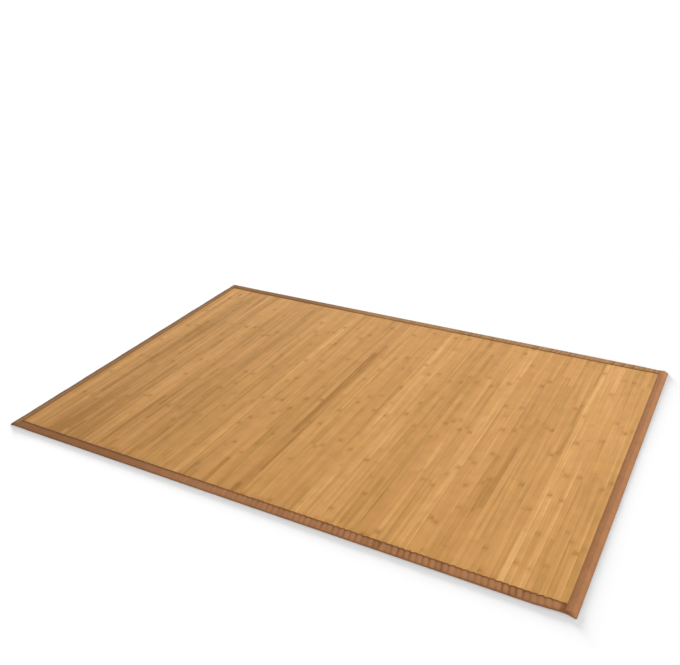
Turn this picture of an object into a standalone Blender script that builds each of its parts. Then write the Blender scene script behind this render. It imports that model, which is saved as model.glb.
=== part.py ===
"""Bamboo slat rug, 1830 x 1220 mm, with a folded cloth binding on all four sides.

Metres. X runs along the long sides, Y along the slats, Z up. The origin is at the
middle of the underside, on the floor. The bindings' lower flaps lie on the floor, so
the panel is a flap's thickness higher along its border and comes down to the floor
further in. At the corners the short bindings lie outside the long ones.
"""

import bmesh
import bpy
from mathutils import Vector

# Overall size
LENGTH = 1.830
WIDTH = 1.220

# Bamboo slats, side by side along X
SLAT_COUNT = 106
SLAT_PITCH = 0.017
SLAT_THICKNESS = 0.0032
GROOVE_WIDTH = 0.0012
GROOVE_DEPTH = 0.0008

# Cloth of the bindings. The long ones are drawn in by PUCKER at each joint between
# slats, and the short ones' tips stand out past the long ones by TIP_REACH.
CLOTH = 0.001
GAP = 0.0003
LAYER = CLOTH + GAP
ABOVE_FLAP = CLOTH + GAP / 2
LONG_BINDING_WIDTH = 0.030
SHORT_BINDING_WIDTH = 0.029
PUCKER = 0.0006
TIP_REACH = 0.002

# Height of a binding folded around the panel, and of its empty fold
FOLD_HEIGHT = SLAT_THICKNESS + 2 * LAYER
EMPTY_FOLD_HEIGHT = 2 * CLOTH + GAP
FOLD_CHAMFER = 0.0008

# The panel and the long bindings, from the middle outwards
PANEL_X = SLAT_COUNT * SLAT_PITCH / 2
LONG_OUTER_Y = WIDTH / 2 - TIP_REACH
LONG_INNER_Y = LONG_OUTER_Y - LONG_BINDING_WIDTH
PANEL_Y = LONG_OUTER_Y - PUCKER - LAYER

# The short bindings, from the middle outwards: flat over the last slat as far as the
# shoulder, then drooping to the empty fold
SHORT_OUTER_X = LENGTH / 2
SHORT_INNER_X = SHORT_OUTER_X - SHORT_BINDING_WIDTH
SHOULDER_X = PANEL_X + 0.0014
DROOP_X = PANEL_X + 0.0070
DROOP_HEIGHT = 0.0040

# Where the panel leaves the lower flaps and where it reaches the floor, and the
# length over which a short binding steps up at a corner
BENCH_X = PANEL_X - SLAT_PITCH
FLOOR_X = PANEL_X - 6 * SLAT_PITCH
BENCH_Y = LONG_INNER_Y - 0.002
FLOOR_Y = 0.150
STEP_LENGTH = 0.010

# Finish of each kind of piece: base colour, roughness
BAMBOO = ("bamboo", (0.58, 0.34, 0.12), 0.45)
BINDING_CLOTH = ("binding_cloth", (0.27, 0.12, 0.06), 0.90)


def finish(name, colour, roughness):
    """A plain material with this colour and roughness."""
    material = bpy.data.materials.new(name)
    material.use_nodes = True
    shader = material.node_tree.nodes["Principled BSDF"]
    shader.inputs["Base Color"].default_value = (*colour, 1.0)
    shader.inputs["Roughness"].default_value = roughness
    shader.inputs["Metallic"].default_value = 0.0
    return material


def ease(distance, full, none):
    """1 at `full` and past it, 0 at `none` and past that, and straight between them."""
    return min(1.0, max(0.0, (distance - none) / (full - none)))


def lift_along_x(x):
    """How far the short bindings' lower flaps raise what lies on them."""
    return LAYER * ease(abs(x), BENCH_X, FLOOR_X)


def lift_along_y(y):
    """How far the long bindings' lower flaps raise the panel."""
    return LAYER * ease(abs(y), BENCH_Y, FLOOR_Y)


def mirrored(distances):
    """Each distance on both sides of the middle, in order."""
    return sorted([-d for d in distances] + list(distances))


def extruded(name, outline, along, stations, shape, material):
    """One closed body: the outline extruded from station to station, then shaped.

    The outline holds (across, up) points in the plane at right angles to `along`,
    which is "x" or "y". shape(x, y, z) gives the place of each corner.
    """
    turn = (lambda u, s, z: (s, u, z)) if along == "x" else (lambda u, s, z: (u, s, z))
    mesh = bmesh.new()
    end = mesh.faces.new([mesh.verts.new(turn(u, stations[0], z)) for u, z in outline])
    for here, there in zip(stations, stations[1:]):
        grown = bmesh.ops.extrude_face_region(mesh, geom=[end])["geom"]
        if here != stations[0]:
            bmesh.ops.delete(mesh, geom=[end], context="FACES_ONLY")
        end = next(g for g in grown if isinstance(g, bmesh.types.BMFace))
        corners = [g for g in grown if isinstance(g, bmesh.types.BMVert)]
        bmesh.ops.translate(mesh, verts=corners, vec=Vector(turn(0, there - here, 0)))
    for corner in mesh.verts:
        corner.co = shape(*corner.co)
    bmesh.ops.recalc_face_normals(mesh, faces=mesh.faces)
    data = bpy.data.meshes.new(name)
    mesh.to_mesh(data)
    mesh.free()
    data.materials.append(material)
    piece = bpy.data.objects.new(name, data)
    bpy.context.collection.objects.link(piece)
    return piece


def panel_outline():
    """Section across the slats: a flat underside and a groove at each joint on top."""
    corners = [(x, 0.0) for x in mirrored([FLOOR_X, BENCH_X, PANEL_X])]
    corners.append((PANEL_X, SLAT_THICKNESS))
    for joint in reversed(range(1, SLAT_COUNT)):
        middle = joint * SLAT_PITCH - PANEL_X
        corners.append((middle + GROOVE_WIDTH / 2, SLAT_THICKNESS))
        corners.append((middle, SLAT_THICKNESS - GROOVE_DEPTH))
        corners.append((middle - GROOVE_WIDTH / 2, SLAT_THICKNESS))
    corners.append((-PANEL_X, SLAT_THICKNESS))
    return corners


def slat_panel(material):
    """All the slats as one solid, raised along its border by the flaps under it."""

    def lie(x, y, z):
        return x, y, z + lift_along_x(x) + lift_along_y(y)

    stations = mirrored([FLOOR_Y, BENCH_Y, PANEL_Y])
    return extruded("slat_panel", panel_outline(), "y", stations, lie, material)


def long_outline(side):
    """Section of a long binding: lower flap, outer wall and upper flap."""
    outer, inner, top = LONG_OUTER_Y, LONG_INNER_Y, FOLD_HEIGHT
    corners = [
        (inner, 0.0),
        (outer, 0.0),
        (outer, top),
        (inner, top),
        (inner, top - CLOTH),
        (outer - CLOTH, top - CLOTH),
        (outer - CLOTH, CLOTH),
        (inner, CLOTH),
    ]
    return [(side * y, z) for y, z in corners]


def long_stations():
    """The panel's two ends, each joint, and the middle of each slat between."""
    return [half * SLAT_PITCH / 2 - PANEL_X for half in range(2 * SLAT_COUNT + 1)]


def bulge(x):
    """Share of the pucker at x: 1 at a slat's middle, 0 at a joint and on the end slats."""
    steps = round((x + PANEL_X) / (SLAT_PITCH / 2))
    return float(steps % 2 == 1 and abs(x) < BENCH_X)


def long_binding(name, side, material):
    """Cloth folded over the slats' ends, drawn in at each joint."""
    shoulder_z = FOLD_HEIGHT - CLOTH / 2

    def pucker(x, y, z):
        swell = PUCKER * bulge(x)
        if z > ABOVE_FLAP:
            z += swell
        if abs(y) > PANEL_Y:
            y -= side * (PUCKER - swell) * ease(z, shoulder_z, CLOTH + GAP)
        return x, y, z + lift_along_x(x)

    return extruded(name, long_outline(side), "x", long_stations(), pucker, material)


def short_outline(side):
    """Section of a short binding: around the last slat, then an empty fold outside it."""
    outer, inner, top = SHORT_OUTER_X, SHORT_INNER_X, FOLD_HEIGHT
    corners = [
        (inner, 0.0),
        (outer - FOLD_CHAMFER, 0.0),
        (outer, FOLD_CHAMFER),
        (outer, EMPTY_FOLD_HEIGHT - FOLD_CHAMFER),
        (outer - FOLD_CHAMFER, EMPTY_FOLD_HEIGHT),
        (DROOP_X, DROOP_HEIGHT),
        (SHOULDER_X, top),
        (inner, top),
        (inner, top - CLOTH),
        (SHOULDER_X - CLOTH / 2, top - CLOTH),
        (DROOP_X - CLOTH / 4, DROOP_HEIGHT - CLOTH),
        (outer - 2 * CLOTH, CLOTH + GAP),
        (outer - 2 * CLOTH, CLOTH),
        (inner, CLOTH),
    ]
    return [(side * x, z) for x, z in corners]


def short_binding(name, side, material):
    """Cloth folded over the last slat, stepping up over the long bindings' ends."""

    def step_over(x, y, z):
        over_slat = ease(abs(x), SHOULDER_X, SHORT_OUTER_X - 2 * CLOTH)
        if z > ABOVE_FLAP:
            step = LAYER * ease(abs(y), BENCH_Y, BENCH_Y - STEP_LENGTH)
            z += over_slat * (lift_along_y(y) + step)
        if abs(y) > LONG_OUTER_Y:
            y -= (y / abs(y)) * TIP_REACH * over_slat
        return x, y, z

    stations = mirrored([FLOOR_Y, BENCH_Y - STEP_LENGTH, BENCH_Y, WIDTH / 2])
    return extruded(name, short_outline(side), "y", stations, step_over, material)


def main():
    for old in list(bpy.data.objects):
        bpy.data.objects.remove(old)
    bamboo = finish(*BAMBOO)
    cloth = finish(*BINDING_CLOTH)
    slat_panel(bamboo)
    long_binding("binding_long_front", -1, cloth)
    long_binding("binding_long_back", 1, cloth)
    short_binding("binding_short_left", -1, cloth)
    short_binding("binding_short_right", 1, cloth)


main()
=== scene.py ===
"""Bamboo slat rug with a folded cloth binding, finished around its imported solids.

Metres, +X along the rug's long sides, +Y along the slats, +Z up, the floor at Z = 0.
The slats replace the panel's solid one by one, and each binding is a cloth tape folded
over its edge and stitched through.
"""

import logging
import math
from collections.abc import Callable, Iterator, Sequence
from contextlib import contextmanager
from dataclasses import dataclass, field
from enum import Enum
from functools import partial
from typing import NamedTuple

import bmesh
import bpy
import numpy as np
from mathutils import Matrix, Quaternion, Vector

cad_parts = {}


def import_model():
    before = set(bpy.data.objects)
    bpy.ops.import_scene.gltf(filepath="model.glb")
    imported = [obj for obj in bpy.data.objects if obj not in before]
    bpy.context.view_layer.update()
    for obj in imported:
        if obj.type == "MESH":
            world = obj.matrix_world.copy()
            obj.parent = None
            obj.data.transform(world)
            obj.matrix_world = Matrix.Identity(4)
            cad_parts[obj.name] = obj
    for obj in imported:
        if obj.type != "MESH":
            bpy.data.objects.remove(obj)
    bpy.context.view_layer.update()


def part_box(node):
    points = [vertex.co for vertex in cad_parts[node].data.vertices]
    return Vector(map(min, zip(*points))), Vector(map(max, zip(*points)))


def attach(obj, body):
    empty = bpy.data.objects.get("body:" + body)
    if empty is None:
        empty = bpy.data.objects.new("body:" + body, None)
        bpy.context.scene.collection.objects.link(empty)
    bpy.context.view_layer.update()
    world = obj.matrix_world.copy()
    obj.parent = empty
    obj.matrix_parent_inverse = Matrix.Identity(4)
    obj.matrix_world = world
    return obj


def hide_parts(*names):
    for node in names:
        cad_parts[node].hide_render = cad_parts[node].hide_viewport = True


LOG = logging.getLogger("rug")
BODY = "root"

Piece = bpy.types.Object
Material = bpy.types.Material
Socket = bpy.types.NodeSocket
Point = tuple[float, float]
Triple = tuple[float, float, float]
Colour = Triple


class Slot(Enum):
    """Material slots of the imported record."""

    BAMBOO = "bamboo"
    CLOTH = "binding_cloth"


class Side(Enum):
    """The side of the middle on which a binding lies."""

    LOW = -1
    HIGH = 1


class Series(Enum):
    """Series of chance values along a tape, by what is added to its seed."""

    SIZE = 0
    WAVE = 7
    SKEW = 50
    CREASE = 70
    HEM = 90


class Accent(Enum):
    """Slats that stand out from their neighbours, as (tone, blush) pairs."""

    ROSY = (0.36, 0.85)
    BRIGHT = (0.76, 0.05)
    SMOKED = (0.08, 0.30)
    PALE = (0.84, 0.22)
    DEEP = (0.22, 0.30)


# ----- Editing helpers -----


def deselect_all() -> None:
    """Deselects every object."""
    bpy.ops.object.select_all(action="DESELECT")


def make_active(piece: Piece) -> None:
    """Makes one object the only selected one, and the active one.

    Args:
        piece: The object to work on next.
    """
    deselect_all()
    piece.select_set(True)
    bpy.context.view_layer.objects.active = piece


@contextmanager
def editing(piece: Piece) -> Iterator[None]:
    """Opens an object in edit mode with nothing selected.

    Args:
        piece: The mesh object to edit.
    """
    make_active(piece)
    bpy.ops.object.mode_set(mode="EDIT")
    bpy.ops.mesh.select_all(action="DESELECT")
    yield
    bpy.ops.object.mode_set(mode="OBJECT")


def choose(piece: Piece, mode: str, test: Callable[[Vector], bool]) -> None:
    """Selects vertices by their place, or edges by the places of both ends.

    Args:
        piece: The object in edit mode.
        mode: "VERT" or "EDGE".
        test: Says whether a place is chosen.
    """
    bpy.ops.mesh.select_mode(type=mode)
    bpy.ops.mesh.select_all(action="DESELECT")
    mesh = bmesh.from_edit_mesh(piece.data)
    for item in mesh.verts if mode == "VERT" else mesh.edges:
        ends = [item] if mode == "VERT" else item.verts
        item.select_set(all(test(end.co) for end in ends))
    mesh.select_flush_mode()
    bmesh.update_edit_mesh(piece.data)


def apply_modifier(piece: Piece, kind: str, **settings: object) -> None:
    """Adds a modifier and applies it.

    Args:
        piece: The mesh object to change.
        kind: The modifier's type, such as "SOLIDIFY".
        settings: Values of the modifier's own properties.
    """
    make_active(piece)
    modifier = piece.modifiers.new(kind.title(), kind)
    for name, value in settings.items():
        setattr(modifier, name, value)
    bpy.ops.object.modifier_apply(modifier=modifier.name)


def freeze(piece: Piece) -> None:
    """Puts the object's place, turn and scale into its mesh."""
    make_active(piece)
    bpy.ops.object.transform_apply(location=True, rotation=True, scale=True)


def shade(piece: Piece, angle: float = 60.0) -> None:
    """Shades a piece smooth, with edges sharper than the angle (degrees) kept hard."""
    make_active(piece)
    bpy.ops.object.shade_smooth_by_angle(angle=math.radians(angle))


def places(piece: Piece) -> np.ndarray:
    """The vertices' places.

    Args:
        piece: The mesh object.

    Returns:
        One row (x, y, z) for each vertex.
    """
    flat = np.empty(len(piece.data.vertices) * 3)
    piece.data.vertices.foreach_get("co", flat)
    return flat.reshape(-1, 3)


def place(piece: Piece, spots: np.ndarray) -> None:
    """Moves the vertices to the rows (x, y, z) of an array."""
    piece.data.vertices.foreach_set("co", np.ascontiguousarray(spots).ravel())
    piece.data.update()


def mark(piece: Piece, name: str, values: np.ndarray | float) -> None:
    """Stores a value for each vertex, which a material reads by name.

    Args:
        piece: The mesh object.
        name: The attribute's name.
        values: One value for each vertex, or one for them all.
    """
    count = len(piece.data.vertices)
    layer = piece.data.attributes.new(name, "FLOAT", "POINT")
    layer.data.foreach_set("value", np.broadcast_to(values, count).astype(np.float32))


# ----- Shapes worked out from sizes -----


def ramp(distance: np.ndarray, full: float, none: float) -> np.ndarray:
    """1 at `full` and past it, 0 at `none` and past that, straight between them."""
    return np.clip((distance - none) / (full - none), 0.0, 1.0)


def soft_ramp(distance: np.ndarray, full: float, none: float) -> np.ndarray:
    """The same as ramp(), eased at both ends."""
    share = ramp(distance, full, none)
    return share * share * (3.0 - 2.0 * share)


def ripple(distance: np.ndarray, seed: int, longest: float) -> np.ndarray:
    """A smooth uneven wave along a line, between about -1 and 1.

    Args:
        distance: Places on the line.
        seed: Picks one of many waves.
        longest: The longest of the four waves that are added up.

    Returns:
        The wave's height at each place.
    """
    draw = np.random.default_rng(seed)
    shorter, lower, highest = 1.7, 1.4, 2.2
    total = np.zeros_like(distance)
    for order in range(4):
        length = longest / (shorter**order) * draw.uniform(0.8, 1.2)
        turn = draw.uniform(0.0, 2.0 * math.pi)
        total += np.sin(2.0 * math.pi * distance / length + turn) / (lower**order)
    return total / highest


def arc(middle: Point, radius: float, start: float, end: float, steps: int) -> list[Point]:
    """Points on a round bend of a section.

    Args:
        middle: The bend's centre, as (across, up).
        radius: Its radius.
        start: The first point's direction in degrees, counted from across to up.
        end: The last point's direction.
        steps: How many stretches the bend has.

    Returns:
        The points in order.
    """
    across, up = middle
    turns = [math.radians(start + (end - start) * step / steps) for step in range(steps + 1)]
    return [(across + radius * math.cos(turn), up + radius * math.sin(turn)) for turn in turns]


@dataclass(frozen=True)
class RugFrame:
    """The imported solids' sizes, to which every piece is built.

    Distances are counted from the rug's middle, and a border rises by one layer of
    cloth where a binding's lower flap lies under it.
    """

    panel_x: float
    panel_y: float
    panel_top: float
    long_outer: float
    long_inner: float
    short_outer: float
    short_inner: float
    slat_count: int = 106
    cloth: float = 0.0010
    gap: float = 0.0003
    floor_slats: int = 6
    bench_margin: float = 0.002
    floor_y: float = 0.150
    step_length: float = 0.010
    drawn_left: float = 0.0010
    drawn_right: float = 0.0040
    drawn_margin: float = 0.016
    drawn_slats: float = 5.5

    @classmethod
    def from_nodes(cls) -> "RugFrame":
        """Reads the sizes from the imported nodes' boxes.

        Returns:
            The rug's sizes.
        """
        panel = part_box("slat_panel")[1]
        long_low, long_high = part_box("binding_long_back")
        short_low, short_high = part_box("binding_short_right")
        return cls(panel.x, panel.y, panel.z, long_high.y, long_low.y, short_high.x, short_low.x)

    @property
    def layer(self) -> float:
        """One layer of cloth with its clearance."""
        return self.cloth + self.gap

    @property
    def pitch(self) -> float:
        """Distance from slat to slat."""
        return 2.0 * self.panel_x / self.slat_count

    @property
    def slat_thickness(self) -> float:
        """A slat's thickness, from the panel's height at its corners."""
        return self.panel_top - 2.0 * self.layer

    @property
    def fold_height(self) -> float:
        """Height of a binding folded round the slats."""
        return self.slat_thickness + 2.0 * self.layer

    @property
    def bench_x(self) -> float:
        """Where the short bindings' lower flaps end under the panel."""
        return self.panel_x - self.pitch

    @property
    def bench_y(self) -> float:
        """Where the long bindings' lower flaps end under the panel."""
        return self.long_inner - self.bench_margin

    def lift_x(self, x: np.ndarray) -> np.ndarray:
        """How far the short bindings' lower flaps raise what lies on them."""
        floor_x = self.panel_x - self.floor_slats * self.pitch
        return self.layer * ramp(np.abs(x), self.bench_x, floor_x)

    def lift_y(self, y: np.ndarray) -> np.ndarray:
        """How far the long bindings' lower flaps raise the panel."""
        return self.layer * ramp(np.abs(y), self.bench_y, self.floor_y)

    def step_y(self, y: np.ndarray) -> np.ndarray:
        """How far a short binding steps up over the end of a long one."""
        return self.layer * soft_ramp(np.abs(y), self.bench_y, self.bench_y - self.step_length)

    def drawn_in(self, x: np.ndarray) -> np.ndarray:
        """How far the long edges are pulled in near the rug's corners.

        Args:
            x: Places along the edge.

        Returns:
            The distances.
        """
        amount = np.where(x > 0.0, self.drawn_right, self.drawn_left)
        full, none = self.panel_x - self.drawn_margin, self.panel_x - self.drawn_slats * self.pitch
        return amount * soft_ramp(np.abs(x), full, none)


# ----- Materials -----


class Value:
    """A socket's value. Arithmetic on it adds Math nodes."""

    def __init__(self, graph: "Graph", socket: Socket) -> None:
        """Wraps a socket."""
        self.graph = graph
        self.socket = socket

    def __add__(self, other: "Value | float") -> "Value":
        """The sum."""
        return self.graph.math("ADD", self, other)

    def __sub__(self, other: "Value | float") -> "Value":
        """The difference."""
        return self.graph.math("SUBTRACT", self, other)

    def __mul__(self, other: "Value | float") -> "Value":
        """The product."""
        return self.graph.math("MULTIPLY", self, other)

    def __truediv__(self, other: "Value | float") -> "Value":
        """The quotient."""
        return self.graph.math("DIVIDE", self, other)

    def squared(self) -> "Value":
        """The value times itself."""
        return self.graph.math("POWER", self, 2.0)

    def swing(self, amount: float) -> "Value":
        """A value of about 0.5 moved to swing round 0 by the amount."""
        return (self - 0.5) * amount

    def stretch(self, low: float, high: float) -> "Value":
        """The value spread so that low becomes 0 and high becomes 1, and clamped."""
        inputs = {"Value": self, "From Min": low, "From Max": high}
        return self.graph.add("MapRange", inputs, interpolation_type="SMOOTHSTEP")


class Graph:
    """A node tree that is built one node at a time."""

    def __init__(self, tree: bpy.types.NodeTree) -> None:
        """Starts on a tree, which may hold nodes already."""
        self.tree = tree

    def add(
        self,
        kind: str,
        inputs: dict[str | int, object] | None = None,
        output: str | int = 0,
        **settings: object,
    ) -> Value:
        """Adds one node.

        Args:
            kind: The node's type name without its "ShaderNode" prefix.
            inputs: Values or constants for its inputs, by name or number.
            output: The output to go on with.
            settings: Values of the node's own properties.

        Returns:
            The output's value.
        """
        node = self.tree.nodes.new("ShaderNode" + kind)
        for name, value in settings.items():
            setattr(node, name, value)
        for key, value in (inputs or {}).items():
            self.feed(node.inputs[key], value)
        return Value(self, node.outputs[output])

    def feed(self, target: Socket, value: object) -> None:
        """Gives an input its value.

        Args:
            target: The input.
            value: A value of this tree to link, or a constant.
        """
        if isinstance(value, Value):
            self.tree.links.new(value.socket, target)
        else:
            target.default_value = value

    def dress(self, inputs: dict[str, object]) -> None:
        """Gives the inputs of a material's shader their values, by name."""
        for name, value in inputs.items():
            self.feed(self.tree.nodes["Principled BSDF"].inputs[name], value)

    def math(self, kind: str, first: object, second: object = 0.0) -> Value:
        """A Math node of two values."""
        return self.add("Math", {0: first, 1: second}, operation=kind)

    def mix(
        self, share: Value | float, low: Value | Colour, high: Value | Colour, kind: str = "MIX"
    ) -> Value:
        """A colour mixed from two, by the share of the second."""
        low, high = (rgba(end) if isinstance(end, tuple) else end for end in (low, high))
        return self.add("Mix", {0: share, 6: low, 7: high}, 2, data_type="RGBA", blend_type=kind)

    def value_of(self, name: str) -> Value:
        """A vertex value stored by mark()."""
        return self.add("Attribute", None, "Fac", attribute_name=name, attribute_type="GEOMETRY")

    def chance(self, seed: Value) -> Value:
        """A chance value from 0 to 1, by its seed."""
        return self.add("TexWhiteNoise", {"W": seed}, "Value", noise_dimensions="1D")

    def noise(self, vector: Value, scale: Triple, detail: float = 2.0, seed: object = 0.0) -> Value:
        """Noise drawn out to its own scale on each axis.

        Args:
            vector: Coordinates in metres.
            scale: Features to the metre on each axis.
            detail: How much finer noise is added.
            seed: Picks one of many patterns.

        Returns:
            The noise's value, about 0.5 on average.
        """
        scaled = self.add("VectorMath", {0: vector, 1: scale}, operation="MULTIPLY")
        inputs = {"Vector": scaled, "W": seed, "Scale": 1.0, "Detail": detail}
        return self.add("TexNoise", inputs, noise_dimensions="4D")


class EffectGroup:
    """A shader node group that materials share, with single values as its outputs.

    Subclasses name its inputs, with None for a vector, and draw its nodes.
    """

    NAME: str = ""
    INPUTS: dict[str, float | None] = {}

    def __init__(self) -> None:
        """Builds the group once."""
        self.tree = bpy.data.node_groups.new(self.NAME, "ShaderNodeTree")
        for name, value in self.INPUTS.items():
            kind = "NodeSocketVector" if value is None else "NodeSocketFloat"
            socket = self.tree.interface.new_socket(name=name, in_out="INPUT", socket_type=kind)
            if value is not None:
                socket.default_value = value
        graph = Graph(self.tree)
        given = self.tree.nodes.new("NodeGroupInput").outputs
        drawn = self.draw(graph, **{name.lower(): Value(graph, given[name]) for name in self.INPUTS})
        for name in drawn:
            self.tree.interface.new_socket(name=name, in_out="OUTPUT", socket_type="NodeSocketFloat")
        result = self.tree.nodes.new("NodeGroupOutput")
        for name, value in drawn.items():
            graph.feed(result.inputs[name], value)

    def draw(self, graph: Graph, **given: Value) -> dict[str, Value]:
        """Draws the group's nodes from its inputs, and gives its outputs by name."""
        raise NotImplementedError

    def put(self, graph: Graph, **inputs: object) -> dict[str, Value]:
        """Places the group among a material's nodes, and gives its outputs by name."""
        node = graph.add("Group", inputs, node_tree=self.tree).socket.node
        return {name: Value(graph, socket) for name, socket in node.outputs.items()}


class Fibres(EffectGroup):
    """Lengthwise fibres: soft stripes, fine lines, thin light streaks and cracks.

    Each noise has its features to the metre, across and along the slat. A range holds
    the values of a noise that become 0 and 1, and a step keeps two noises' seeds apart.
    """

    NAME = "fibres"
    INPUTS = {"Vector": None, "Seed": 0.0}
    STRIPES = (90.0, 3.0, 1.0)
    LINES = (950.0, 20.0, 1.0)
    GLINTS = (240.0, 11.0, 1.0)
    CRACKS = (520.0, 13.0, 1.0)
    GRAIN = (1300.0, 18.0, 1.0)
    SOFT_RANGE = (0.25, 0.75)
    GLINT_RANGE = (0.66, 0.76)
    CRACK_RANGE = (0.72, 0.80)
    CRACK_DEPTH = 0.6
    GLINT_STEP = 17.0
    CRACK_STEP = 31.0

    def draw(self, graph: Graph, vector: Value, seed: Value) -> dict[str, Value]:
        """Draws five drawn-out noises.

        Args:
            graph: The group's nodes.
            vector: Coordinates in metres.
            seed: The slat's seed.

        Returns:
            The outputs by name.
        """
        other, third = seed + self.GLINT_STEP, seed + self.CRACK_STEP
        crack = graph.noise(vector, self.CRACKS, 0.0, third).stretch(*self.CRACK_RANGE)
        return {
            "Stripe": graph.noise(vector, self.STRIPES, 1.5, seed).stretch(*self.SOFT_RANGE),
            "Line": graph.noise(vector, self.LINES, 2.0, seed).stretch(*self.SOFT_RANGE),
            "Glint": graph.noise(vector, self.GLINTS, 0.0, other).stretch(*self.GLINT_RANGE),
            "Crack": crack,
            "Height": graph.noise(vector, self.GRAIN, 2.0, seed) - crack * self.CRACK_DEPTH,
        }


class CulmNodes(EffectGroup):
    """The marks across a slat where the culm had its joints.

    A mark is a faint bowed line with a ragged dark spot on it. Lengths are in metres,
    and the spot's are a least size and what chance adds to it. Steps keep the seeds of
    marks apart, and of the stretches between them.
    """

    NAME = "culm_nodes"
    INPUTS = {"Turn": 0.0, "Across": 0.0, "Vector": None, "Seed": 0.0, "Spacing": 0.29, "Width": 0.0084}
    BOW = 0.0020
    WOBBLE = 0.0075
    LINE = (0.0024, 0.0003)
    LINE_DEPTH = 0.30
    HALO = (0.022, 0.003)
    STRENGTH = (-0.15, 0.90)
    CHANGE = (-0.035, 0.035)
    MARK_STEP = 7.31
    STRETCH_STEP = 3.17
    SPOT_BROAD = (0.0065, 0.0060)
    SPOT_TALL = (0.0035, 0.0080)
    SPOT_EDGE = (1.05, -0.10)
    SPOT_OFF = 1.2
    RAGGED = 2.6
    ROUGH = (240.0, 150.0, 1.0)
    ROUGHER = (260.0, 150.0, 1.0)

    def draw(
        self,
        graph: Graph,
        turn: Value,
        across: Value,
        vector: Value,
        seed: Value,
        spacing: Value,
        width: Value,
    ) -> dict[str, Value]:
        """Draws the marks, a halo round each, and a change of tone from mark to mark.

        Args:
            graph: The group's nodes.
            turn: Place along the slat, a whole number at each mark.
            across: Place across the slat, from -1 to 1.
            vector: Coordinates in metres.
            seed: The slat's seed.
            spacing: Distance from mark to mark.
            width: Half the slat's width.

        Returns:
            The outputs by name.
        """
        number = graph.math("FLOOR", turn + 0.5)
        past = graph.math("FRACT", turn + 0.5) - 0.5
        own = seed + number * self.MARK_STEP
        distance = past * spacing
        wobble = graph.noise(vector, self.ROUGH, 2.0, own).swing(self.WOBBLE)
        bent = distance + across.squared() * self.BOW + wobble
        band = graph.math("ABSOLUTE", bent).stretch(*self.LINE)

        chance = graph.chance(own)
        other = graph.chance(own + 0.5)
        strength = chance.stretch(*self.STRENGTH)
        broad = chance * self.SPOT_BROAD[1] + self.SPOT_BROAD[0]
        tall = other * self.SPOT_TALL[1] + self.SPOT_TALL[0]
        sideways = (across - other.swing(self.SPOT_OFF)) * width / broad
        reach = sideways.squared() + (bent / tall).squared()
        ragged = graph.noise(vector, self.ROUGHER, 3.0, own).swing(self.RAGGED)
        spot = (reach + ragged).stretch(*self.SPOT_EDGE)
        halo = graph.math("ABSOLUTE", distance).stretch(*self.HALO)

        after = seed + number * self.STRETCH_STEP
        low, high = graph.chance(after - self.STRETCH_STEP), graph.chance(after)
        tone = low + (high - low) * past.stretch(*self.CHANGE)
        return {
            "Mark": graph.math("MAXIMUM", band * self.LINE_DEPTH, spot) * strength,
            "Halo": halo * strength,
            "Shift": tone - 0.5,
            "Height": band,
        }


class Patina(EffectGroup):
    """Slow light and dark patches of use, shared by all the finishes."""

    NAME = "patina"
    INPUTS = {"Vector": None, "Size": 0.1, "Amount": 0.1}

    def draw(self, graph: Graph, vector: Value, size: Value, amount: Value) -> dict[str, Value]:
        """Draws one low noise, centred on 1.

        Args:
            graph: The group's nodes.
            vector: Coordinates in metres.
            size: A patch's size.
            amount: How far the noise swings.

        Returns:
            The output by name.
        """
        inputs = {"Vector": vector, "Scale": graph.math("DIVIDE", 1.0, size), "Detail": 3.0}
        wave = graph.add("TexNoise", inputs, noise_dimensions="3D")
        return {"Factor": wave.swing(2.0) * amount + 1.0}


class Weave(EffectGroup):
    """A plain weave of warp and weft, in the tape's own flat coordinates."""

    NAME = "weave"
    INPUTS = {"Vector": None, "Pitch": 0.0009}
    LOOSENESS = 0.0008
    LOOSE = (120.0, 120.0, 1.0)
    YARN = (60.0, 900.0, 1.0)

    def draw(self, graph: Graph, vector: Value, pitch: Value) -> dict[str, Value]:
        """Draws round threads that pass over and under each other in turn.

        Args:
            graph: The group's nodes.
            vector: Flat coordinates in metres.
            pitch: Distance from thread to thread.

        Returns:
            The outputs by name.
        """
        loose = graph.noise(vector, self.LOOSE).swing(self.LOOSENESS)
        turn = graph.math("DIVIDE", math.pi, pitch)
        parts = (graph.add("SeparateXYZ", {0: vector}, axis) for axis in "XY")
        warp, weft = (graph.math("SINE", (part + loose) * turn) for part in parts)
        over = graph.math("GREATER_THAN", warp * weft, 0.0)
        under = graph.math("SUBTRACT", 1.0, over)
        height = graph.math("ABSOLUTE", warp) * over + graph.math("ABSOLUTE", weft) * under
        yarn = graph.noise(vector, self.YARN)
        return {"Height": height, "Shade": height * 0.5 + yarn}


@dataclass
class Effects:
    """The shared node groups, each built once."""

    fibres: Fibres = field(default_factory=Fibres)
    culm: CulmNodes = field(default_factory=CulmNodes)
    patina: Patina = field(default_factory=Patina)
    weave: Weave = field(default_factory=Weave)


def rgba(colour: Colour) -> tuple[float, float, float, float]:
    """A colour with full alpha."""
    return (*colour, 1.0)


def new_material(name: str) -> tuple[Material, Graph]:
    """Starts a material.

    Args:
        name: Its name.

    Returns:
        The material and its nodes.
    """
    material = bpy.data.materials.new(name)
    material.use_nodes = True
    return material, Graph(material.node_tree)


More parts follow.
